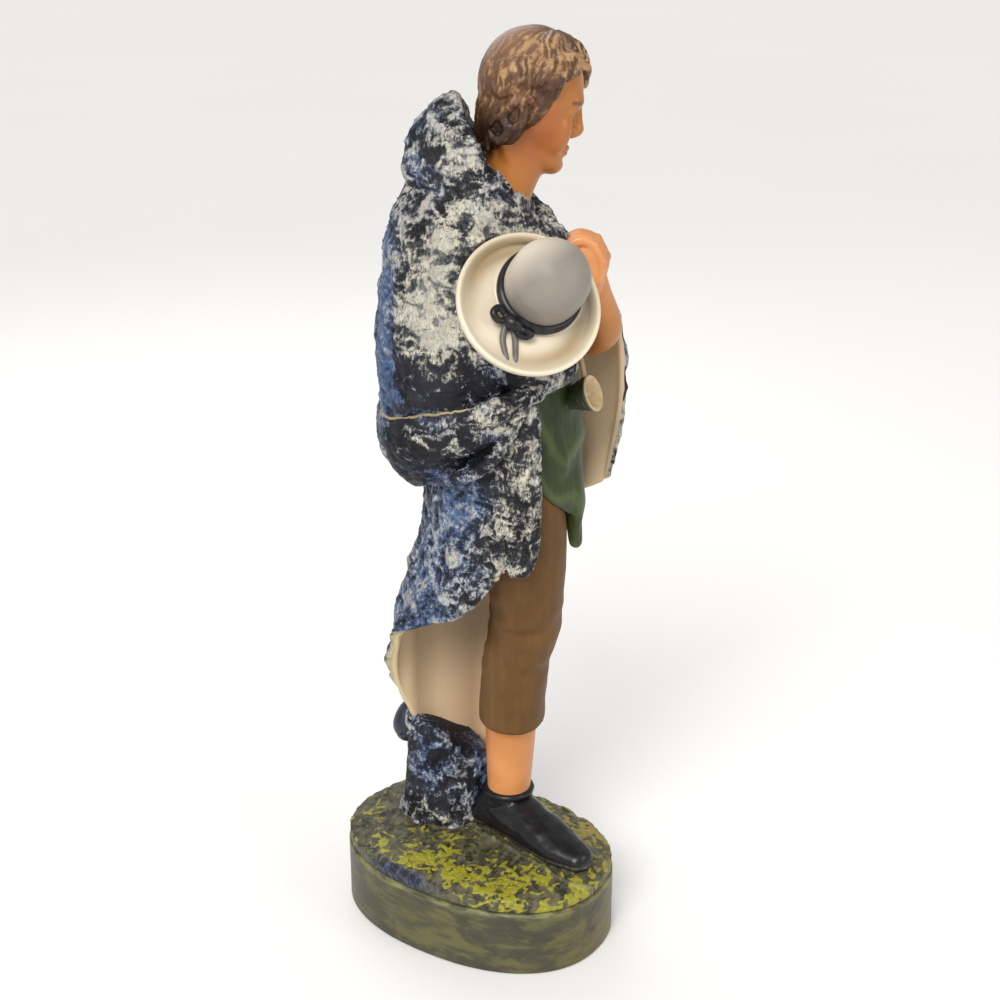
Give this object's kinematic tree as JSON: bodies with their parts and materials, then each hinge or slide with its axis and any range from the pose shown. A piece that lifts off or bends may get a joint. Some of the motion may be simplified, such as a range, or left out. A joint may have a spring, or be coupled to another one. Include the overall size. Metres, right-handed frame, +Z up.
{
  "type": "nativity figurine",
  "caption": "Painted plaster nativity shepherd in a fleece cloak, hat on the arm and hands folded, standing on rough grassy ground and a plain oval plinth.",
  "frame": {"origin": "centre of the oval plinth's flat underside, on the surface that it stands on", "axes": "+Z up, +X along the plinth's long side, -Y out of its front long side, which the figure faces at a slant"},
  "size_m": [0.1642, 0.1457, 0.4987],
  "materials": {
    "painted_figure": "hand-painted plaster cast with a satin varnish, its fleece dry-brushed in ivory and blue over black",
    "painted_plinth": "hand-painted plaster, olive and yellow green brushed over dark grey, satin"
  },
  "bodies": {
    "root": {"shepherd_figure": "painted_figure", "oval_plinth": "painted_plinth"}
  },
  "joints": []
}
